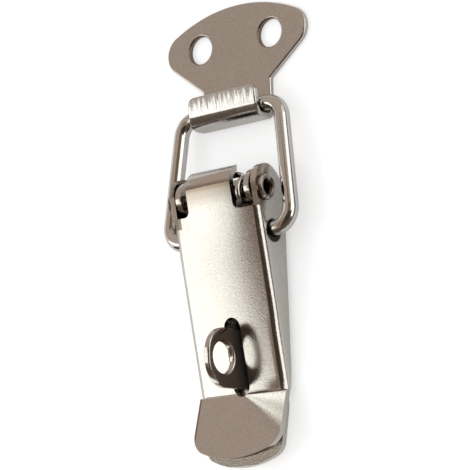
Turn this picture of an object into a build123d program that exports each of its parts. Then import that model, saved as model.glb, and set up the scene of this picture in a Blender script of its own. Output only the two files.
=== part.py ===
from build123d import *
import os
from math import acos, asin, atan2, cos, degrees, hypot, radians, sin, sqrt, tan

# Over centre toggle latch in folded stainless sheet, drawn closed.
# The origin is the middle of the base plate's two screw holes, on the mounting
# plane. +Z points away from the mounting plane and +Y towards the catch plate.

# Driving dimensions
sheet = 1.2  # thickness of the base plate, the lever and the catch plate
bend = 1.5  # outer radius of the sheet's sharp folds
wire = 3.0  # diameter of the bail
screw_spacing = 11.0  # base plate, along Y
pivot_y = 14.0  # rivet axis, from the screws' middle
pivot_z = 7.04
room = 20.0  # longer than any cut needs

# Base plate
base_half_width = 8.85
base_front = pivot_y + 4.0
base_bend_y = pivot_y - 40.0
base_bend = 5.0
base_rise = 12.0  # degrees, of the raised lower end
base_end = pivot_y - 50.6
base_end_radius = 17.0
base_corner = 2.5
base_screw_hole = 4.3
base_ear_radius = 3.5
base_ear_y = pivot_y + 0.5
base_ear_z = pivot_z - 0.8
base_ear_root = 4.6  # from the pivot's foot to the ear's rear edge
relief = 0.9  # width of the slit behind each ear's fold

# Lever
lever_half_width = 10.45
crease_y = pivot_y - 37.0
crease_z = 2.6  # outer face at the crease
face_z = 9.83  # outer face above the rivet's axis
tab_rise = 16.4  # degrees, of the finger tab
tab_half_width = 10.25
tab_end = pivot_y - 49.0
tab_end_radius = 21.5
tab_corner = 4.0
flange_foot = 1.1  # lower edge of the flanges
notch_y = pivot_y - 3.5
tongue_left = -6.0
tongue_right = 4.65
tongue_left_corner = 2.0
tongue_right_corner = 1.4
curl_radius = 3.4
curl_y = pivot_y + 1.86
ear_radius = 3.5
ear_y = pivot_y + 1.16
ear_drop = 0.35  # the ears' top edge lies this far below the face
slot_top = pivot_y - 22.9
slot_foot = pivot_y - 37.5
slot_width = 3.8
notch_corner = 1.2

# Bail
bail_hole_y = pivot_y - 7.45
bail_hole_z = 4.75
bail_play = 0.15
crossbar_y = pivot_y + 17.0
crossbar_z = 3.0
leg_at_crossbar = 11.9
leg_at_lever = 14.9
bail_corner = 3.5
bail_end_x = 8.3

# Catch plate
catch_screw_x = 8.55
catch_screw_y = pivot_y + 31.1
catch_screw_hole = 5.5
lobe_radius = 4.0
lobe_y = pivot_y + 31.2
crown_radius = 33.0
crown_y = pivot_y + 38.3
neck_half_width = 8.25
neck_y = pivot_y + 22.4
hook_foot = pivot_y + 14.2
hook_height = 5.5  # outer corner of the hook's upper fold
hook_lip = pivot_y + 20.35
lip_rise = 7.0  # degrees, of the hook's open lip
hook_bend = 2.0
lip_corner = 1.5

# Pivot rivet
rivet = 2.9
rivet_head = 4.95
rivet_proud = 0.9
rivet_play = 0.05
rivet_bore = 2.4
rivet_bore_depth = 3.2
rivet_rim = 0.35  # height of the head's and the rolled end's edge above the ear
rivet_crest = 0.5  # flat width of the rolled end

# Torsion spring
spring_wire = 1.1
coil_radius = 2.35  # of the wire's centre line
coil_left = 5.32
coil_pitch = 1.25
coil_angle = 350.0  # degrees, from the upper leg over the rivet to the lower leg
thumb_gap = 0.17  # between the upper leg and the inside of the tongue's curl
thumb_angle = 12.0  # degrees, of the upper leg about the curl's axis
thumb_length = 4.0
spring_bend = 1.0

# Padlock staple
staple_sheet = 1.4
staple_front = pivot_y - 25.0
staple_back = pivot_y - 36.2
staple_top = 12.75
staple_corner = 4.85
eye_y = pivot_y - 30.6
eye_z = 8.46
eye = 6.0
tenon = 6.4
play = 0.02  # between parts that are pressed or staked together

# Derived places
face_slope = atan2(face_z - crease_z, pivot_y - crease_y)
slope_degrees = degrees(face_slope)


def face_height(y):
    """Outer face of the closed lever above the mounting plane."""
    return face_z + (y - pivot_y) * tan(face_slope)


def sagitta(radius, half_chord):
    """Height of an arc over its chord."""
    return radius - sqrt(radius**2 - half_chord**2)


def across(x):
    """Plane across the latch at x, with its own x along +Y and its own y up."""
    return Plane(origin=(x, 0, 0), x_dir=(0, 1, 0), z_dir=(1, 0, 0))


def side_face(side, x, y, z):
    """Plane on a side wall's outer face, with its z pointing away from the latch."""
    return Plane(origin=(side * x, y, z), x_dir=(0, 1, 0), z_dir=(side, 0, 0))


# Base plate: one ear, folded up from the plate's edge
ear_inner = base_half_width - sheet
with BuildPart() as base_ear:
    with BuildSketch(Plane.XZ.offset(-base_front)):
        with BuildLine():
            FilletPolyline(
                (ear_inner - bend, 0),
                (base_half_width, 0),
                (base_half_width, pivot_z + base_ear_radius),
                radius=bend,
            )
            offset(amount=sheet, side=Side.LEFT)
        make_face()
    extrude(amount=base_front - pivot_y + base_ear_root)
    with BuildSketch(across(0)):
        with BuildLine():
            crown = CenterArc((base_ear_y, base_ear_z), base_ear_radius, 0, 180)
            Polyline(
                crown @ 1,
                (pivot_y - base_ear_root, bend),
                (pivot_y - base_ear_root, 0),
                (base_front, 0),
                (base_front, bend),
                crown @ 0,
            )
        make_face()
    extrude(amount=room, mode=Mode.INTERSECT)
    with Locations(side_face(1, base_half_width, pivot_y, pivot_z)):
        Hole(radius=rivet / 2 + play)

# Base plate: a flat strip with its lower end raised a little
with BuildPart() as base_plate:
    with BuildSketch(across(-base_half_width)):
        with BuildLine():
            FilletPolyline(
                (base_front, 0),
                (base_bend_y, 0),
                (base_end, tan(radians(base_rise)) * (base_bend_y - base_end)),
                radius=base_bend,
            )
            offset(amount=sheet, side=Side.RIGHT)
        make_face()
    extrude(amount=2 * base_half_width)
    with BuildSketch():
        with BuildLine():
            shoulder_y = base_end + sagitta(base_end_radius, base_half_width)
            ThreePointArc((-base_half_width, shoulder_y), (0, base_end), (base_half_width, shoulder_y))
            Polyline(
                (-base_half_width, shoulder_y),
                (-base_half_width, base_front),
                (base_half_width, base_front),
                (base_half_width, shoulder_y),
            )
        outline = make_face()
        fillet(outline.vertices().group_by(Axis.Y)[0], base_corner)
    extrude(amount=room, mode=Mode.INTERSECT)
    ear_length = base_front - pivot_y + base_ear_root + relief
    with BuildSketch():
        with Locations((base_half_width, base_front), (-ear_inner + bend, base_front)):
            Rectangle(sheet + bend, ear_length, align=(Align.MAX, Align.MAX))
    extrude(amount=room, mode=Mode.SUBTRACT)
    add(base_ear.part)
    add(base_ear.part.mirror(Plane.YZ))
    with Locations((0, -screw_spacing / 2, sheet), (0, screw_spacing / 2, sheet)):
        Hole(radius=base_screw_hole / 2)
    with BuildSketch():
        with Locations((0, eye_y)):
            Rectangle(staple_sheet + 2 * play, tenon + 2 * play)
    extrude(amount=sheet, mode=Mode.SUBTRACT)

# Lever: the strip of sheet that runs from the finger tab up the face and
# curls a quarter turn round the rivet as a tongue
curl_z = face_height(curl_y) - curl_radius / cos(face_slope)
curl_start = curl_y - curl_radius * sin(face_slope)
web_half_width = lever_half_width - bend
with BuildPart() as lever_strip:
    with BuildSketch(across(-lever_half_width)):
        with BuildLine():
            strip = FilletPolyline(
                (tab_end, crease_z + tan(radians(tab_rise)) * (crease_y - tab_end)),
                (crease_y, crease_z),
                (curl_start, face_height(curl_start)),
                radius=bend,
            )
            JernArc(strip @ 1, strip % 1, curl_radius, -90 - slope_degrees)
            offset(amount=sheet, side=Side.RIGHT)
        make_face()
    extrude(amount=2 * lever_half_width)
    with BuildSketch():
        with BuildLine():
            shoulder_y = tab_end + sagitta(tab_end_radius, tab_half_width)
            tongue_end = curl_y + curl_radius + sheet
            ThreePointArc((-tab_half_width, shoulder_y), (0, tab_end), (tab_half_width, shoulder_y))
            Polyline(
                (-tab_half_width, shoulder_y),
                (-tab_half_width, crease_y),
                (-web_half_width, crease_y),
                (-web_half_width, notch_y),
                (tongue_left, notch_y),
                (tongue_left, tongue_end),
                (tongue_right, tongue_end),
                (tongue_right, notch_y),
                (web_half_width, notch_y),
                (web_half_width, crease_y),
                (tab_half_width, crease_y),
                (tab_half_width, shoulder_y),
            )
        make_face()
        fillet(vertices().group_by(Axis.Y)[0], tab_corner)
        for corner_x in (tongue_left, tongue_right):
            fillet(vertices().sort_by_distance((corner_x, notch_y))[0], notch_corner)
    extrude(amount=room, mode=Mode.INTERSECT)
    for corner_x, radius in ((tongue_left, tongue_left_corner), (tongue_right, tongue_right_corner)):
        tip = (corner_x, curl_y + curl_radius - sheet / 2, curl_z)
        fillet(edges().filter_by(Axis.Y).sort_by_distance(tip)[0], radius)

# Lever: the two flanges, folded down along the face
down_the_face = Plane(
    origin=(0, crease_y, crease_z),
    x_dir=(1, 0, 0),
    z_dir=(0, cos(face_slope), sin(face_slope)),
)
flange_depth = face_z - flange_foot + bend
with BuildPart() as lever_flanges:
    with BuildSketch(down_the_face.offset(-bend)):
        with BuildLine():
            FilletPolyline(
                (-lever_half_width, flange_depth),
                (-lever_half_width, 0),
                (lever_half_width, 0),
                (lever_half_width, flange_depth),
                radius=bend,
            )
            offset(amount=sheet, side=Side.LEFT)
        make_face()
    extrude(amount=pivot_y - crease_y)
    with BuildSketch(across(-lever_half_width)):
        with BuildLine():
            Polyline(
                (crease_y, crease_z),
                (notch_y, face_height(notch_y)),
                (notch_y, flange_foot),
                (crease_y + 3 * sheet, flange_foot),
                (crease_y, crease_z - sheet / cos(face_slope)),
                close=True,
            )
        make_face()
    extrude(amount=2 * lever_half_width, mode=Mode.INTERSECT)

# Lever: one flat ear in front of the flange, which the rivet passes through
ear_z = face_height(ear_y) - ear_drop - ear_radius / cos(face_slope)
with BuildPart() as lever_ear:
    with BuildSketch(across(lever_half_width - sheet)):
        with BuildLine():
            nose = CenterArc((ear_y, ear_z), ear_radius, 90 + slope_degrees, -135 - slope_degrees)
            heel = nose @ 1 + Vector(-1, -1) * ((nose @ 1).Y - flange_foot)
            Polyline(
                nose @ 1,
                heel,
                (notch_y, flange_foot),
                (notch_y, face_height(notch_y) - ear_drop),
                nose @ 0,
            )
        outline = make_face()
        fillet(outline.vertices().sort_by_distance(heel)[0], ear_radius)
    extrude(amount=sheet)

with BuildPart() as lever:
    add(lever_strip.part)
    add(lever_flanges.part)
    add(lever_ear.part)
    add(lever_ear.part.mirror(Plane.YZ))
    with BuildSketch():
        with Locations((0, (slot_top + slot_foot) / 2)):
            SlotOverall(slot_top - slot_foot, slot_width, rotation=90)
    extrude(amount=room, mode=Mode.SUBTRACT)
    for side in (-1, 1):
        with Locations(side_face(side, lever_half_width, pivot_y, pivot_z)):
            Hole(radius=rivet / 2 + rivet_play, depth=sheet)
        with Locations(side_face(side, lever_half_width, bail_hole_y, bail_hole_z)):
            Hole(radius=wire / 2 + bail_play, depth=sheet)

# Bail: round wire, bent in the plane of the lever's bail holes and the crossbar
bail_length = hypot(crossbar_y - bail_hole_y, crossbar_z - bail_hole_z)
bail_plane = Plane(
    origin=(0, bail_hole_y, bail_hole_z),
    x_dir=(1, 0, 0),
    z_dir=(0, bail_hole_z - crossbar_z, crossbar_y - bail_hole_y),
)
with BuildPart() as wire_bail:
    with BuildLine(bail_plane):
        FilletPolyline(
            (bail_end_x, 0),
            (leg_at_lever, 0),
            (leg_at_crossbar, bail_length),
            (-leg_at_crossbar, bail_length),
            (-leg_at_lever, 0),
            (-bail_end_x, 0),
            radius=bail_corner,
        )
    with BuildSketch(Plane(origin=(bail_end_x, bail_hole_y, bail_hole_z), z_dir=(1, 0, 0))):
        Circle(wire / 2)
    sweep()

# Catch plate: fan-shaped, with its lower edge folded up and back as a hook
crown_centre = crown_y - crown_radius
lobe_x = sqrt((crown_radius - lobe_radius) ** 2 - (lobe_y - crown_centre) ** 2)
crown_angle = degrees(atan2(lobe_y - crown_centre, lobe_x))
lip_z = hook_height + tan(radians(lip_rise)) * (hook_lip - hook_foot)
neck_to_lobe = Vector(lobe_x - neck_half_width, lobe_y - neck_y)
slant = degrees(atan2(neck_to_lobe.Y, neck_to_lobe.X) - asin(lobe_radius / neck_to_lobe.length))
with BuildPart() as catch_plate:
    with BuildSketch(across(-lobe_x - lobe_radius)):
        with BuildLine():
            FilletPolyline(
                (crown_y, 0),
                (hook_foot, 0),
                (hook_foot, hook_height),
                (hook_lip, lip_z),
                radius=hook_bend,
            )
            offset(amount=sheet, side=Side.RIGHT)
        make_face()
    extrude(amount=2 * (lobe_x + lobe_radius))
    with BuildSketch():
        with BuildLine():
            CenterArc((0, crown_centre), crown_radius, crown_angle, 90 - crown_angle)
            lobe = CenterArc((lobe_x, lobe_y), lobe_radius, slant - 90, crown_angle - slant + 90)
            Polyline(
                lobe @ 0,
                (neck_half_width, neck_y),
                (neck_half_width, hook_foot),
                (0, hook_foot),
            )
            mirror(about=Plane.YZ)
        make_face()
        with Locations((-catch_screw_x, catch_screw_y), (catch_screw_x, catch_screw_y)):
            Circle(catch_screw_hole / 2, mode=Mode.SUBTRACT)
    extrude(amount=room, mode=Mode.INTERSECT)
    lip_end = faces().sort_by_distance((0, hook_lip, lip_z))[0]
    fillet(lip_end.edges().sort_by(SortBy.LENGTH)[:2], lip_corner)

# Pivot rivet: semi-tubular, with a low round head at the left and a rolled end
# round an open bore at the right
seat = lever_half_width + rivet_play
dome_rise = rivet_proud - rivet_rim
dome_radius = (rivet_head**2 / 4 + dome_rise**2) / (2 * dome_rise)
dome_angle = degrees(asin(rivet_head / 2 / dome_radius))
crest = (rivet_head + rivet_bore) / 4
with BuildPart() as pivot_rivet:
    with BuildSketch(Plane(origin=(0, pivot_y, pivot_z), x_dir=(1, 0, 0), z_dir=(0, -1, 0))):
        with BuildLine():
            dome_centre = (dome_radius - seat - rivet_proud, 0)
            dome = CenterArc(dome_centre, dome_radius, 180 - dome_angle, dome_angle)
            bore_end = seat - rivet_bore_depth
            Polyline(
                dome @ 0,
                (-seat, rivet_head / 2),
                (-seat, rivet / 2),
                (seat, rivet / 2),
                (seat, rivet_head / 2),
                (seat + rivet_rim, rivet_head / 2),
                (seat + rivet_proud, crest + rivet_crest / 2),
                (seat + rivet_proud, crest - rivet_crest / 2),
                (seat + rivet_rim, rivet_bore / 2),
                (bore_end, rivet_bore / 2),
                (bore_end - rivet_bore / 4, 0),
                dome @ 1,
            )
        make_face()
    revolve(axis=Axis((0, pivot_y, pivot_z), (1, 0, 0)))

# Torsion spring: one turn on the rivet beside the tongue. Its upper leg reaches
# into the tongue's curl and its lower leg stands on the base plate
thumb_radius = curl_radius - sheet - spring_wire / 2 - thumb_gap
thumb_y = curl_y + thumb_radius * cos(radians(thumb_angle))
thumb_z = curl_z + thumb_radius * sin(radians(thumb_angle))
thumb_reach = hypot(thumb_y - pivot_y, thumb_z - pivot_z)
coil_start = atan2(thumb_z - pivot_z, thumb_y - pivot_y) - acos(coil_radius / thumb_reach)
coil_plane = Plane(
    origin=(coil_left, pivot_y, pivot_z),
    x_dir=(0, cos(coil_start), sin(coil_start)),
    z_dir=(1, 0, 0),
)
coil = coil_plane * Helix(coil_pitch, coil_pitch * coil_angle / 360, coil_radius, lefthand=True)
arm_corner = coil @ 0 - (coil % 0) * sqrt(thumb_reach**2 - coil_radius**2)
thumb_tip = arm_corner - Vector(thumb_length, 0, 0)
foot_way = coil % 1
foot_z = sheet + play + spring_wire / 2 * sqrt(1 - foot_way.Z**2)
foot_tip = coil @ 1 + foot_way * ((coil @ 1).Z - foot_z) / -foot_way.Z
with BuildPart() as torsion_spring:
    with BuildLine():
        FilletPolyline(thumb_tip, arm_corner, coil @ 0, radius=spring_bend)
        add(coil)
        Line(coil @ 1, foot_tip)
    with BuildSketch(Plane(origin=thumb_tip, z_dir=(1, 0, 0))):
        Circle(spring_wire / 2)
    sweep()

# Padlock staple: stands on the base plate and comes out through the lever's slot
with BuildPart() as padlock_staple:
    with BuildSketch(across(-staple_sheet / 2)):
        with BuildLine():
            Polyline(
                (staple_back, sheet + play),
                (staple_back, staple_top),
                (staple_front, staple_top),
                (staple_front, sheet + play),
                close=True,
            )
        outline = make_face()
        fillet(outline.vertices().group_by(Axis.Y)[-1], staple_corner)
        with Locations((eye_y, 0)):
            Rectangle(tenon, 2 * sheet, align=(Align.CENTER, Align.MIN))
        with Locations((eye_y, eye_z)):
            Circle(eye / 2, mode=Mode.SUBTRACT)
    extrude(amount=staple_sheet)

pieces = {
    "base_plate": base_plate,
    "lever": lever,
    "wire_bail": wire_bail,
    "catch_plate": catch_plate,
    "pivot_rivet": pivot_rivet,
    "torsion_spring": torsion_spring,
    "padlock_staple": padlock_staple,
}
os.makedirs("parts", exist_ok=True)
for name, piece in pieces.items():
    piece.part.label = name
    export_step(piece.part, f"parts/{name}.step")
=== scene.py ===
# Over centre toggle latch: finishes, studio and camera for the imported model
import bpy
import math
from mathutils import Matrix, Vector


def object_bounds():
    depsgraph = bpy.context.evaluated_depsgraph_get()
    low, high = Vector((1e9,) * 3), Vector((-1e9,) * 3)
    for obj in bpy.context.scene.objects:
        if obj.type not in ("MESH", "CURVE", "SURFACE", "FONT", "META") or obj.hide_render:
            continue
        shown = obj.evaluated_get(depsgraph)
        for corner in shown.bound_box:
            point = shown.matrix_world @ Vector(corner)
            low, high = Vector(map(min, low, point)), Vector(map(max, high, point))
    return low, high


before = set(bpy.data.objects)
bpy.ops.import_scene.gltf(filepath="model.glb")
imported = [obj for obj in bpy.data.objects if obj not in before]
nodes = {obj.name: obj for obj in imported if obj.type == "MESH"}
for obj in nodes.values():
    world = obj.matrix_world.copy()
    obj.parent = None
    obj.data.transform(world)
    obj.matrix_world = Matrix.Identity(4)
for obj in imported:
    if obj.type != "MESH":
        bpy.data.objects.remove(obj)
cadLow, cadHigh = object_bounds()
scene = bpy.context.scene
mm = 0.001
white = (1.0, 1.0, 1.0)

# Sockets of a Mix node that blends colours
mixMask, mixFirst, mixSecond, mixResult = 0, 6, 7, 2


# A fixed value is set on the socket, anything else is linked to it
def feed(tree, socket, value):
    if isinstance(value, bpy.types.NodeSocket):
        tree.links.new(value, socket)
    elif socket.type == "RGBA":
        socket.default_value = (*value, 1.0)
    else:
        socket.default_value = value


def addNode(tree, kind, **settings):
    node = tree.nodes.new(kind)
    for key, value in settings.items():
        if key in node.inputs:
            feed(tree, node.inputs[key], value)
        else:
            setattr(node, key, value)
    return node


def newGroup(name, inputs, outputs):
    group = bpy.data.node_groups.new(name, "ShaderNodeTree")
    for socketName, kind, value in inputs:
        group.interface.new_socket(socketName, in_out="INPUT", socket_type=kind).default_value = value
    for socketName, kind in outputs:
        group.interface.new_socket(socketName, in_out="OUTPUT", socket_type=kind)
    given = addNode(group, "NodeGroupInput").outputs
    made = addNode(group, "NodeGroupOutput").inputs
    return group, given, made


def useGroup(tree, group, values):
    node = addNode(tree, "ShaderNodeGroup", node_tree=group)
    for name, value in values.items():
        feed(tree, node.inputs[name], value)
    return node.outputs


def mathNode(tree, operation, first, second=0.0, clamp=False):
    node = addNode(tree, "ShaderNodeMath", operation=operation, use_clamp=clamp)
    feed(tree, node.inputs[0], first)
    feed(tree, node.inputs[1], second)
    return node.outputs[0]


def product(tree, *factors):
    result = factors[0]
    for factor in factors[1:]:
        result = mathNode(tree, "MULTIPLY", result, factor)
    return result


def total(tree, *parts):
    result = parts[0]
    for part in parts[1:]:
        result = mathNode(tree, "ADD", result, part)
    return result


def remap(tree, value, fromLow, fromHigh, toLow, toHigh):
    node = addNode(tree, "ShaderNodeMapRange", interpolation_type="SMOOTHSTEP")
    ends = {"Value": value, "From Min": fromLow, "From Max": fromHigh, "To Min": toLow, "To Max": toHigh}
    for name, end in ends.items():
        feed(tree, node.inputs[name], end)
    return node.outputs["Result"]


def rise(tree, value, start, end):
    return remap(tree, value, start, end, 0.0, 1.0)


def fall(tree, value, start, end):
    return remap(tree, value, start, end, 1.0, 0.0)


# Shows the second colour where the mask is 1
def mixColours(tree, mask, first, second):
    mixed = addNode(tree, "ShaderNodeMix", data_type="RGBA")
    for socket, value in ((mixMask, mask), (mixFirst, first), (mixSecond, second)):
        feed(tree, mixed.inputs[socket], value)
    return mixed.outputs[mixResult]


def objectPlace(tree):
    place = addNode(tree, "ShaderNodeTexCoord")
    return addNode(tree, "ShaderNodeSeparateXYZ", Vector=place.outputs["Object"]).outputs


def surfaceNormal(tree):
    return addNode(tree, "ShaderNodeNewGeometry").outputs["Normal"]


def turnVector(tree, kind, vector, before, after):
    turn = addNode(
        tree, "ShaderNodeVectorTransform", vector_type=kind, convert_from=before, convert_to=after, Vector=vector
    )
    return turn.outputs[0]


# Tumbled satin: a fine pebbled surface with faint cloudy patches
grainForm = {
    "fine": {"Detail": 3.0, "Roughness": 0.62},
    "fineRange": (0.34, 0.66),
    "cloud": {"Detail": 4.0, "Roughness": 0.55},
    "cloudRange": (0.35, 0.68),
    "specks": {"Detail": 2.0, "Roughness": 0.5},
    "speckRange": (0.6, 0.72),
    "speckScale": 0.37,  # share of the grain's scale
}


def makeTumbledGrain():
    group, given, made = newGroup(
        "tumbledGrain",
        [("Grain Scale", "NodeSocketFloat", 2600.0), ("Patch Scale", "NodeSocketFloat", 160.0)],
        [("Height", "NodeSocketFloat"), ("Patches", "NodeSocketFloat"), ("Specks", "NodeSocketFloat")],
    )
    place = addNode(group, "ShaderNodeTexCoord").outputs["Object"]
    speckScale = product(group, given["Grain Scale"], grainForm["speckScale"])
    for texture, scale, spread, outcome in (
        ("fine", given["Grain Scale"], "fineRange", "Height"),
        ("cloud", given["Patch Scale"], "cloudRange", "Patches"),
        ("specks", speckScale, "speckRange", "Specks"),
    ):
        noise = addNode(group, "ShaderNodeTexNoise", Vector=place, Scale=scale, **grainForm[texture])
        feed(group, made[outcome], rise(group, noise.outputs["Fac"], *grainForm[spread]))
    return group


# Drawing lines: streaks stretched along one direction, as rolling, wire drawing or a die leaves them
lineForm = {
    "noise": {"Scale": 1.0, "Detail": 3.0, "Roughness": 0.6},
    "streakRange": (0.38, 0.64),
}


def makeDrawnLines():
    group, given, made = newGroup(
        "drawnLines",
        [("Stretch", "NodeSocketVector", (3000.0, 60.0, 3000.0))],
        [("Height", "NodeSocketFloat"), ("Streaks", "NodeSocketFloat")],
    )
    place = addNode(group, "ShaderNodeTexCoord").outputs["Object"]
    stretched = addNode(group, "ShaderNodeVectorMath", operation="MULTIPLY")
    feed(group, stretched.inputs[0], place)
    feed(group, stretched.inputs[1], given["Stretch"])
    lines = addNode(group, "ShaderNodeTexNoise", Vector=stretched.outputs[0], **lineForm["noise"]).outputs["Fac"]
    feed(group, made["Height"], lines)
    feed(group, made["Streaks"], rise(group, lines, *lineForm["streakRange"]))
    return group


# Painted shade: steel that lies close behind other sheet is darkened, by ambient occlusion
closeShadeForm = {
    "colour": (0.15, 0.125, 0.105),
    "reach": 3.0 * mm,
    "samples": 6,
    "range": (0.05, 0.55),
    "unshadedBelow": -24.0 * mm,  # no painted shade on the finger tab and the base under it
}


def makePaintedCloseShade():
    group, given, made = newGroup(
        "paintedCloseShade",
        [
            ("Surface", "NodeSocketColor", (*white, 1.0)),
            ("Close Shade", "NodeSocketColor", (*closeShadeForm["colour"], 1.0)),
            ("Unshaded Below", "NodeSocketFloat", closeShadeForm["unshadedBelow"]),
        ],
        [("Colour", "NodeSocketColor")],
    )
    _, y, _ = objectPlace(group)
    near = addNode(
        group, "ShaderNodeAmbientOcclusion", samples=closeShadeForm["samples"], Distance=closeShadeForm["reach"]
    )
    unshaded = mathNode(group, "LESS_THAN", y, given["Unshaded Below"])
    unshadedShare = mathNode(group, "MAXIMUM", rise(group, near.outputs["AO"], *closeShadeForm["range"]), unshaded)
    feed(group, made["Colour"], mixColours(group, unshadedShare, given["Close Shade"], given["Surface"]))
    return group


# A round mark, full up to one distance from its middle and gone beyond another
markSockets = ("First", "Second", "Middle First", "Middle Second", "Full", "Gone")


def makeRoundMark():
    group, given, made = newGroup(
        "roundMark", [(name, "NodeSocketFloat", 0.0) for name in markSockets], [("Mark", "NodeSocketFloat")]
    )
    first = mathNode(group, "SUBTRACT", given["First"], given["Middle First"])
    second = mathNode(group, "SUBTRACT", given["Second"], given["Middle Second"])
    squares = total(group, mathNode(group, "POWER", first, 2.0), mathNode(group, "POWER", second, 2.0))
    distance = mathNode(group, "SQRT", squares)
    feed(group, made["Mark"], fall(group, distance, given["Full"], given["Gone"]))
    return group


def markAt(tree, spot, middle, fade):
    return useGroup(tree, roundMark, dict(zip(markSockets, (*spot, *middle, *fade))))["Mark"]


# Turns the surface a little, as a crowned or rolled sheet does, by amounts along the object's X and Y
def makeLeanedNormal():
    group, given, made = newGroup(
        "leanedNormal",
        [("Lean X", "NodeSocketFloat", 0.0), ("Lean Y", "NodeSocketFloat", 0.0)],
        [("Normal", "NodeSocketVector")],
    )
    lean = addNode(group, "ShaderNodeCombineXYZ", X=given["Lean X"], Y=given["Lean Y"])
    leaning = addNode(group, "ShaderNodeVectorMath", operation="ADD")
    feed(group, leaning.inputs[0], surfaceNormal(group))
    feed(group, leaning.inputs[1], turnVector(group, "VECTOR", lean.outputs[0], "OBJECT", "WORLD"))
    unit = addNode(group, "ShaderNodeVectorMath", operation="NORMALIZE")
    feed(group, unit.inputs[0], leaning.outputs[0])
    feed(group, made["Normal"], unit.outputs[0])
    return group


tumbledGrain = makeTumbledGrain()
drawnLines = makeDrawnLines()
paintedCloseShade = makePaintedCloseShade()
roundMark = makeRoundMark()
leanedNormal = makeLeanedNormal()
print("groups made")


def makeSteel(name, look, addLean=None, addColourMarks=None):
    material = bpy.data.materials.new(name)
    material.use_nodes = True
    tree = material.node_tree
    tree.nodes.clear()
    steel = addNode(tree, "ShaderNodeBsdfPrincipled", Metallic=1.0)
    addNode(tree, "ShaderNodeOutputMaterial", Surface=steel.outputs["BSDF"])
    grain = useGroup(
        tree, tumbledGrain, {"Grain Scale": look["grainScale"], "Patch Scale": look["patchScale"]}
    )
    lines = useGroup(tree, drawnLines, {"Stretch": look["stretch"]})

    patches = product(tree, grain["Patches"], look["patchAmount"])
    tone = product(tree, grain["Height"], look["grainTone"])
    streaks = product(tree, lines["Streaks"], look["streakAmount"])
    amount = mathNode(tree, "ADD", total(tree, patches, tone), streaks, clamp=True)
    paint = mixColours(tree, amount, look["colour"], look["darkerTone"])
    # painted shade where steel lies close behind other sheet
    if look["dimmed"]:
        paint = useGroup(tree, paintedCloseShade, {"Surface": paint, "Close Shade": look["closeShade"]})["Colour"]
    # painted shade, dark reflections and highlights, and a darker tongue on the lever, laid over the steel's
    # colour
    if addColourMarks:
        paint, metal = addColourMarks(tree, paint)
        if metal is not None:
            feed(tree, steel.inputs["Metallic"], metal)
    feed(tree, steel.inputs["Base Color"], paint)

    specks = product(tree, grain["Specks"], look["speckRoughness"])
    feed(tree, steel.inputs["Roughness"], total(tree, specks, look["roughness"]))
    pebbles = product(tree, grain["Height"], look["grainDepth"])
    furrows = product(tree, lines["Height"], look["lineDepth"])
    bump = addNode(tree, "ShaderNodeBump", Strength=1.0, Distance=1.0, Height=total(tree, pebbles, furrows))
    if addLean:
        leanX, leanY = addLean(tree)
        leaned = useGroup(tree, leanedNormal, {"Lean X": leanX, "Lean Y": leanY})
        feed(tree, bump.inputs["Normal"], leaned["Normal"])
    feed(tree, steel.inputs["Normal"], bump.outputs["Normal"])
    return material


leverForm = {
    "crown": 12.0,  # lean across the face, for each metre from crownMiddle
    "crownTop": 20.0,  # the same near the curl, where the face is more crowned
    "crownTopRange": (0.0 * mm, 11.0 * mm),
    "crownMiddle": 3.9 * mm,
    "crownLean": 0.047,
    "topLean": -0.028,
    "stripRange": (7.9 * mm, 9.3 * mm),  # below the bail's holes the right edge turns away
    "stripTop": (-8.0 * mm, -13.0 * mm),
    "stripLean": 0.13,
    "foldAboveRange": (-20.0 * mm, -23.0 * mm),  # the face turns up a little before the tab's fold
    "foldAboveSide": (4.0 * mm, 9.0 * mm),
    "foldLineRange": (-22.3 * mm, -23.1 * mm),
    "foldAbove": 0.13,
    "creaseY": -23.0 * mm,  # below it the tab starts
    "creaseSpread": 1.2,  # the fold into the tab is rounder towards the right
    "creaseShortest": 0.05 * mm,
    "creaseLean": 0.54,
    "tabCrown": 0.2,  # share of the crown that the tab has
    # painted shade where the bail enters each flange and around the rivet: its middle along Y and Z,
    # and the two distances from there between which it fades
    "shadeRings": (
        ((6.15 * mm, 4.75 * mm), (2.0 * mm, 2.45 * mm)),
        ((14.0 * mm, 7.04 * mm), (1.9 * mm, 2.6 * mm)),
    ),
    "shadeOutside": 9.0 * mm,  # only the flanges get the painted shade
    "ringShade": (0.03, 0.025, 0.022),
    "tongueSide": (6.3 * mm, 6.8 * mm),
    "tongueDarkRange": (10.8 * mm, 15.0 * mm),  # the tongue is darker just before the curl
    "tongueDarkEnd": (16.0 * mm, 15.2 * mm),
    "tongueDarkDepth": (8.4 * mm, 8.8 * mm),
    "darkerTone": (0.36, 0.32, 0.27),
    "curlLine": (14.5 * mm, 15.4 * mm, 16.6 * mm),  # a painted dark reflection: a brown line where the curl starts
    "curlReflection": (0.26, 0.205, 0.16),
    "earX": (-10.4 * mm, -8.2 * mm),  # painted shade: the left ear is darker
    "earBottom": 8.5 * mm,
    "earShade": (0.20, 0.165, 0.135),
    "edgeInner": (-9.7 * mm, -10.0 * mm),  # a painted dark reflection: a brown line along the left fold
    "edgeOuter": (-10.34 * mm, -10.43 * mm),
    "foldReflection": (0.26, 0.19, 0.14),
}


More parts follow.
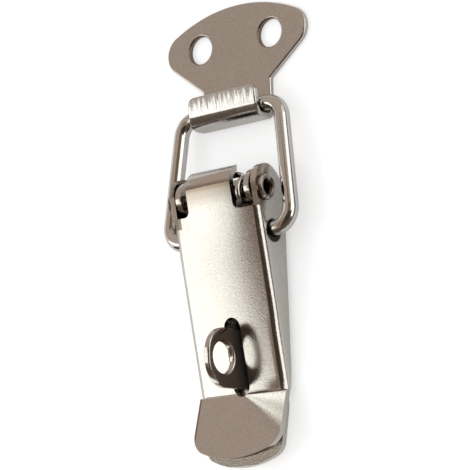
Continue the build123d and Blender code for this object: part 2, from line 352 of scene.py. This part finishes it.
def addLeverLean(tree):
    x, y, _ = objectPlace(tree)
    onTab = mathNode(tree, "LESS_THAN", y, leverForm["creaseY"])
    onFace = mathNode(tree, "SUBTRACT", 1.0, onTab)

    # the crease fans out towards the right
    run = product(tree, x, leverForm["creaseSpread"])
    run = mathNode(tree, "MAXIMUM", run, leverForm["creaseShortest"])
    depth = mathNode(tree, "SUBTRACT", leverForm["creaseY"], y)
    near = mathNode(tree, "SUBTRACT", 1.0, mathNode(tree, "DIVIDE", depth, run), clamp=True)
    crease = product(tree, onTab, near, -leverForm["creaseLean"])

    crown = remap(tree, y, *leverForm["crownTopRange"], leverForm["crown"], leverForm["crownTop"])
    crown = product(tree, mathNode(tree, "SUBTRACT", x, leverForm["crownMiddle"]), crown)
    top = remap(tree, y, *leverForm["crownTopRange"], 0.0, leverForm["topLean"])
    crown = total(tree, crown, leverForm["crownLean"], top)
    crown = product(tree, crown, remap(tree, onTab, 0.0, 1.0, 1.0, leverForm["tabCrown"]))
    strip = remap(tree, x, *leverForm["stripRange"], 0.0, leverForm["stripLean"])
    strip = product(tree, strip, rise(tree, y, *leverForm["stripTop"]), onFace)

    above = remap(tree, y, *leverForm["foldAboveRange"], 0.0, leverForm["foldAbove"])
    above = product(tree, above, rise(tree, x, *leverForm["foldAboveSide"]))
    foldLine = remap(tree, y, *leverForm["foldLineRange"], 0.0, leverForm["foldAbove"])
    above = product(tree, mathNode(tree, "MAXIMUM", above, foldLine), onFace)
    return total(tree, crown, strip), total(tree, crease, above)


# Painted shade rings, painted ear shade, painted dark reflections on the curl and left fold, and a darker tongue
def addLeverColourMarks(tree, colour):
    x, y, z = objectPlace(tree)
    fromMiddle = mathNode(tree, "ABSOLUTE", x)
    rings = (markAt(tree, (y, z), middle, fade) for middle, fade in leverForm["shadeRings"])
    outside = mathNode(tree, "GREATER_THAN", fromMiddle, leverForm["shadeOutside"])
    ringShaded = product(tree, mathNode(tree, "MAXIMUM", *rings), outside)
    colour = mixColours(tree, ringShaded, colour, leverForm["ringShade"])

    onTongue = fall(tree, fromMiddle, *leverForm["tongueSide"])
    tongueDarker = product(
        tree,
        rise(tree, y, *leverForm["tongueDarkRange"]),
        rise(tree, y, *leverForm["tongueDarkEnd"]),
        rise(tree, z, *leverForm["tongueDarkDepth"]),
        onTongue,
    )
    colour = mixColours(tree, tongueDarker, colour, leverForm["darkerTone"])
    lineStart, lineMiddle, lineEnd = leverForm["curlLine"]
    line = product(tree, rise(tree, y, lineStart, lineMiddle), rise(tree, y, lineEnd, lineMiddle), onTongue)
    colour = mixColours(tree, line, colour, leverForm["curlReflection"])

    earLeft, earRight = leverForm["earX"]
    ear = product(
        tree,
        mathNode(tree, "GREATER_THAN", x, earLeft),
        mathNode(tree, "LESS_THAN", x, earRight),
        mathNode(tree, "GREATER_THAN", y, leverForm["earBottom"]),
    )
    colour = mixColours(tree, ear, colour, leverForm["earShade"])
    edge = product(tree, rise(tree, x, *leverForm["edgeInner"]), fall(tree, x, *leverForm["edgeOuter"]))
    return mixColours(tree, edge, colour, leverForm["foldReflection"]), None


rivetForm = {
    "middle": (14.0 * mm, 7.04 * mm),
    "bore": (1.4 * mm, 1.55 * mm),  # painted shade in the bore and around the rim
    "rim": (2.45 * mm, 2.2 * mm),
    "ringShade": (0.12, 0.09, 0.07),
}


def addRivetShade(tree, colour):
    _, y, z = objectPlace(tree)
    marks = (markAt(tree, (y, z), rivetForm["middle"], rivetForm[part]) for part in ("bore", "rim"))
    return mixColours(tree, mathNode(tree, "MAXIMUM", *marks), colour, rivetForm["ringShade"]), None


# Painted shade: the punched sides of the staple are darker and less metallic. Its rim keeps the plain steel
# colour and leans a little
stapleForm = {
    "sideTurn": (0.8, 0.97),  # a side begins and is full where its normal lies this much along X
    "sideShade": (0.24, 0.185, 0.15),
    "sideShadeMetal": 0.7,
    "rimLean": (0.0, -0.17),
}


def stapleSide(tree):
    normal = turnVector(tree, "NORMAL", surfaceNormal(tree), "WORLD", "OBJECT")
    alongX = addNode(tree, "ShaderNodeSeparateXYZ", Vector=normal).outputs["X"]
    return rise(tree, mathNode(tree, "ABSOLUTE", alongX), *stapleForm["sideTurn"])


def addStapleLean(tree):
    rim = mathNode(tree, "SUBTRACT", 1.0, stapleSide(tree))
    return tuple(product(tree, rim, lean) for lean in stapleForm["rimLean"])


def addStapleShade(tree, colour):
    side = stapleSide(tree)
    metal = remap(tree, side, 0.0, 1.0, 1.0, stapleForm["sideShadeMetal"])
    return mixColours(tree, side, colour, stapleForm["sideShade"]), metal


# The end of the base plate, under the finger tab, leans towards its tip
baseForm = {
    "endRange": (-24.0 * mm, -27.0 * mm),
    "endLean": (0.08, -0.48),
}


def addBaseLean(tree):
    _, y, _ = objectPlace(tree)
    return tuple(remap(tree, y, *baseForm["endRange"], 0.0, lean) for lean in baseForm["endLean"])


lipForm = {
    "height": (3.4 * mm, 5.4 * mm),  # the hook's lip stands above the plate
    "middle": 32.6 * mm,
    "roll": 34.0,  # lean along the lip's depth, for each metre
    "streaks": (3600.0, 260.0, 0.0),
    "streakMiddle": 0.5,
    "streakLean": (0.14, 0.34),
    "foldRange": (31.2 * mm, 30.1 * mm),  # the fold under the lip begins softly
    "foldLean": -0.36,
    # painted highlight: the lip is lighter and greyer than the rest of the plate
    "colour": (0.66, 0.65, 0.63),
    "holes": (8.55 * mm, 45.1 * mm),  # painted shade: the screw holes' rims are brown
    "holeEdge": (2.85 * mm, 3.05 * mm),
    "holeShade": (0.22, 0.175, 0.14),
}


def addLipLean(tree):
    _, y, z = objectPlace(tree)
    lines = useGroup(tree, drawnLines, {"Stretch": lipForm["streaks"]})
    uneven = mathNode(tree, "SUBTRACT", lines["Height"], lipForm["streakMiddle"])
    across, along = (product(tree, uneven, amount) for amount in lipForm["streakLean"])
    roll = product(tree, mathNode(tree, "SUBTRACT", y, lipForm["middle"]), lipForm["roll"])
    fold = remap(tree, y, *lipForm["foldRange"], 0.0, lipForm["foldLean"])
    onLip = rise(tree, z, *lipForm["height"])
    return product(tree, across, onLip), product(tree, total(tree, roll, along, fold), onLip)


def addLipHighlightAndShade(tree, colour):
    x, y, z = objectPlace(tree)
    colour = mixColours(tree, rise(tree, z, *lipForm["height"]), colour, lipForm["colour"])
    spot = (mathNode(tree, "ABSOLUTE", x), y)
    atHole = markAt(tree, spot, lipForm["holes"], lipForm["holeEdge"])
    return mixColours(tree, atHole, colour, lipForm["holeShade"]), None


sheetLook = {
    "colour": (0.62, 0.59, 0.55),
    "darkerTone": (0.50, 0.47, 0.43),
    "dimmed": True,
    "closeShade": closeShadeForm["colour"],
    "patchAmount": 0.12,
    "grainTone": 0.6,
    "streakAmount": 0.08,
    "roughness": 0.165,
    "speckRoughness": 0.04,
    "grainScale": 2700.0,
    "patchScale": 220.0,
    "stretch": (2500.0, 120.0, 2500.0),
    "grainDepth": 0.0034 * mm,
    "lineDepth": 0.0006 * mm,
}
stapleLook = {**sheetLook, "dimmed": False}
wireLook = {
    **sheetLook,
    "colour": (0.66, 0.64, 0.61),
    "patchAmount": 0.15,
    "grainTone": 0.15,
    "roughness": 0.12,
    "grainDepth": 0.002 * mm,
    "lineDepth": 0.002 * mm,
}
rivetLook = {**wireLook, "roughness": 0.16, "dimmed": False}
springLook = {**wireLook, "colour": (0.60, 0.58, 0.56), "roughness": 0.14}

finishOf = {
    "base_plate": makeSteel("satinBase", sheetLook, addBaseLean),
    "lever": makeSteel("satinLever", sheetLook, addLeverLean, addLeverColourMarks),
    "catch_plate": makeSteel("satinCatch", sheetLook, addLipLean, addLipHighlightAndShade),
    "padlock_staple": makeSteel("shadedStaple", stapleLook, addStapleLean, addStapleShade),
    "wire_bail": makeSteel("drawnWire", wireLook),
    "pivot_rivet": makeSteel("rolledRivet", rivetLook, addColourMarks=addRivetShade),
    "torsion_spring": makeSteel("springWire", springLook),
}
for name, material in finishOf.items():
    for materialSlot in nodes[name].material_slots:
        materialSlot.link = "OBJECT"
        materialSlot.material = material
print("finishes set")

# Rounded punched edges, over the flat model
edgeForm = {
    "pieces": ("base_plate", "lever", "catch_plate", "padlock_staple"),
    "width": 0.40 * mm,
    "segments": 4,
    "sharperThan": math.radians(38),
    "weldWithin": 0.001 * mm,
    "flatWithin": math.radians(0.5),
}


def makeSmoothShading():
    group = bpy.data.node_groups.new("smoothShading", "GeometryNodeTree")
    for direction in ("INPUT", "OUTPUT"):
        group.interface.new_socket("Geometry", in_out=direction, socket_type="NodeSocketGeometry")
    source = group.nodes.new("NodeGroupInput")
    result = group.nodes.new("NodeGroupOutput")
    smooth = group.nodes.new("GeometryNodeSetShadeSmooth")
    group.links.new(source.outputs[0], smooth.inputs["Geometry"])
    group.links.new(smooth.outputs[0], result.inputs[0])
    return group


def roundEdges(piece, smoothShading):
    weld = piece.modifiers.new("weld", "WELD")
    weld.merge_threshold = edgeForm["weldWithin"]
    flatten = piece.modifiers.new("flatten", "DECIMATE")
    flatten.decimate_type = "DISSOLVE"
    flatten.angle_limit = edgeForm["flatWithin"]
    bevel = piece.modifiers.new("punchedEdge", "BEVEL")
    bevel.width = edgeForm["width"]
    bevel.segments = edgeForm["segments"]
    bevel.limit_method = "ANGLE"
    bevel.angle_limit = edgeForm["sharperThan"]
    smooth = piece.modifiers.new("smoothShading", "NODES")
    smooth.node_group = smoothShading
    normals = piece.modifiers.new("evenNormals", "WEIGHTED_NORMAL")
    normals.keep_sharp = False


smoothShading = makeSmoothShading()
for name in edgeForm["pieces"]:
    roundEdges(nodes[name], smoothShading)
print("edges rounded")

studio = {
    "floorSize": 6.0,
    "floorDrop": 0.02 * mm,  # the floor lies this far under the latch
    "floorColour": (0.86, 0.86, 0.86),
    "floorRoughness": 0.9,
    "floorGlow": 0.5,
    "floorMirrored": 0.19,
    "worldLight": 0.6,
}


def makeFloor():
    bpy.ops.mesh.primitive_plane_add(
        size=studio["floorSize"], location=(0, 0, cadLow.z - studio["floorDrop"])
    )
    floor = bpy.context.object
    floor.name = "paleFloor"
    material = bpy.data.materials.new("paleFloor")
    material.use_nodes = True
    tree = material.node_tree
    surface = tree.nodes["Principled BSDF"].inputs
    path = addNode(tree, "ShaderNodeLightPath").outputs
    seen = mathNode(tree, "ADD", path["Is Camera Ray"], path["Is Transmission Ray"], clamp=True)
    glow = product(tree, seen, studio["floorGlow"])
    mirrored = product(tree, path["Is Glossy Ray"], studio["floorMirrored"])
    feed(tree, surface["Base Color"], studio["floorColour"])
    feed(tree, surface["Roughness"], studio["floorRoughness"])
    feed(tree, surface["Emission Color"], white)
    feed(tree, surface["Emission Strength"], total(tree, glow, mirrored))
    floor.data.materials.append(material)


def makeWorld():
    world = bpy.data.worlds.new("paleRoom")
    scene.world = world
    world.use_nodes = True
    tree = world.node_tree
    background = tree.nodes["Background"].inputs
    path = addNode(tree, "ShaderNodeLightPath").outputs
    seen = total(tree, path["Is Camera Ray"], path["Is Glossy Ray"])
    seen = mathNode(tree, "ADD", seen, path["Is Transmission Ray"], clamp=True)
    feed(tree, background["Color"], white)
    feed(tree, background["Strength"], remap(tree, seen, 0.0, 1.0, studio["worldLight"], 1.0))


# Cards are level or upright. Each is given by its lowest and highest corner, in metres
def addCard(name, low, high):
    low, high = Vector(low), Vector(high)
    flat = min(range(3), key=lambda axis: high[axis] - low[axis])
    first, second = (axis for axis in range(3) if axis != flat)
    corners = []
    for ends in ((low, low), (high, low), (high, high), (low, high)):
        corner = low.copy()
        corner[first], corner[second] = ends[0][first], ends[1][second]
        corners.append(corner)
    mesh = bpy.data.meshes.new(name)
    mesh.from_pydata(corners, [], [(0, 1, 2, 3)])
    card = bpy.data.objects.new(name, mesh)
    scene.collection.objects.link(card)
    return card


# A level is an axis, where it starts and ends along it, and how much light is left.
# An edge is the same without the last, and leaves the dim glow.
# A slant moves these along X by so much for each metre under a place along Y, up to a limit
def makeCard(name, low, high, glow, levels=(), edges=(), dim=None, slant=None):
    card = addCard(name, low, high)
    material = bpy.data.materials.new(name)
    material.use_nodes = True
    tree = material.node_tree
    tree.nodes.clear()
    light = addNode(tree, "ShaderNodeEmission", Color=glow, Strength=1.0)
    addNode(tree, "ShaderNodeOutputMaterial", Surface=light.outputs[0])
    spot = list(objectPlace(tree))
    if slant:
        slantStart, slantRate, slantLimit = slant
        under = mathNode(tree, "MAXIMUM", mathNode(tree, "SUBTRACT", slantStart, spot[1]), 0.0)
        shift = mathNode(tree, "MINIMUM", product(tree, under, slantRate), slantLimit)
        spot[0] = mathNode(tree, "SUBTRACT", spot[0], shift)
    if levels:
        left = (remap(tree, spot[axis], start, end, 1.0, share) for axis, start, end, share in levels)
        feed(tree, light.inputs["Strength"], product(tree, *left))
    if edges:
        inside = product(tree, *(fall(tree, spot[axis], start, end) for axis, start, end in edges))
        feed(tree, light.inputs["Color"], mixColours(tree, inside, dim, glow))
    card.data.materials.append(material)
    card.visible_camera = False
    card.visible_diffuse = False
    card.visible_shadow = False


def makeSoftbox(name, low, high, radiance):
    low, high = Vector(low), Vector(high)
    lamp = bpy.data.lights.new(name, "AREA")
    lamp.shape = "RECTANGLE"
    lamp.size, lamp.size_y = high.x - low.x, high.y - low.y
    lamp.energy = radiance * math.pi * lamp.size * lamp.size_y
    holder = bpy.data.objects.new(name, lamp)
    scene.collection.objects.link(holder)
    holder.location = (low + high) / 2
    holder.visible_glossy = False


softbox = {"low": (-1.10, -0.38, 0.75), "high": (-0.44, 0.12, 0.75), "radiance": 1.7}
taupe = (0.545, 0.455, 0.395)
brown = (0.12, 0.09, 0.065)
shade = (0.06, 0.045, 0.035)
tableTop = -0.01 * mm  # table cards lie just over the floor

# Seen only in the steel: a bright softbox and panels, a warm grey room and dark gaps between them
cards = {
    "softboxFace": {
        "low": (-1.70, -0.38, 0.75),
        "high": (-0.30, 0.16, 0.75),
        "glow": (2.2, 2.22, 2.14),
        "levels": ((0, -0.9, -0.58, 0.8), (1, -0.155, -0.085, 0.78), (1, -0.06, -0.02, 1.45)),
        "edges": ((0, -0.6, -0.38), (1, -0.27, -0.38), (1, 0.04, 0.16)),
        "dim": (0.26, 0.175, 0.13),
        "slant": (-0.16, 4.5, 0.17),
    },
    "taupeCeiling": {
        "low": (-2.6, 0.03, 1.0),
        "high": (1.0, 1.6, 1.0),
        "glow": taupe,
        "levels": ((1, 0.7, 0.2, 0.92),),
    },
    "taupeWall": {"low": (-2.6, 1.6, 0.02), "high": (1.0, 1.6, 1.0), "glow": taupe},
    "dimCeiling": {"low": (-0.8, -1.0, 0.99), "high": (-0.1, 0.03, 0.99), "glow": (0.32, 0.24, 0.185)},
    "frontShade": {"low": (-2.6, -0.9, 0.03), "high": (1.7, -0.9, 1.0), "glow": brown},
    "frontTable": {"low": (-1.5, -1.2, tableTop), "high": (0.012, -0.0385, tableTop), "glow": (1.5, 1.5, 1.5)},
    "frontCeiling": {"low": (-2.6, -0.9, 0.98), "high": (-0.8, -0.3, 0.98), "glow": brown},
    "cameraShade": {"low": (-0.1, -0.9, 0.98), "high": (0.87, 0.03, 0.98), "glow": shade},
    "rightShade": {"low": (0.87, -0.9, 0.98), "high": (1.7, 0.0, 0.98), "glow": shade},
    "wireShade": {"low": (0.0, 0.03, 0.98), "high": (0.85, 0.5, 0.98), "glow": (0.20, 0.15, 0.09)},
    "darkTable": {"low": (0.0275, -0.6, tableTop), "high": (1.2, 1.2, tableTop), "glow": (0.13, 0.15, 0.18)},
    "rightPanel": {"low": (1.0, 0.0, 0.05), "high": (1.0, 0.7, 1.0), "glow": (1.8, 1.8, 1.8)},
    "lowPanel": {"low": (1.0, -0.5, 0.05), "high": (1.0, 0.0, 0.6), "glow": (1.8, 1.75, 1.65)},
}
makeFloor()
makeWorld()
makeSoftbox("keyLight", **softbox)
for name, card in cards.items():
    makeCard(name, **card)
print("studio set")

# A long lens, about 0.38 m from the latch, from the right and a little from below
cameraLook = {
    "place": (0.236756, -0.063871, 0.297086),
    "right": (0.77406, -0.03575, -0.63210),
    "up": (0.14401, 0.98218, 0.12079),
    "back": (0.61652, -0.18453, 0.76541),
    "lens": 156.46,
    "sensor": 36.0,
    "clipStart": 0.01,
}
cameraData = bpy.data.cameras.new("mainCamera")
cameraData.lens = cameraLook["lens"]
cameraData.sensor_width = cameraLook["sensor"]
cameraData.clip_start = cameraLook["clipStart"]
mainCamera = bpy.data.objects.new("mainCamera", cameraData)
scene.collection.objects.link(mainCamera)
axes = Matrix((cameraLook["right"], cameraLook["up"], cameraLook["back"])).transposed()
mainCamera.matrix_world = Matrix.Translation(cameraLook["place"]) @ axes.to_4x4()
scene.camera = mainCamera
scene.view_settings.view_transform = "Standard"
print("camera set")
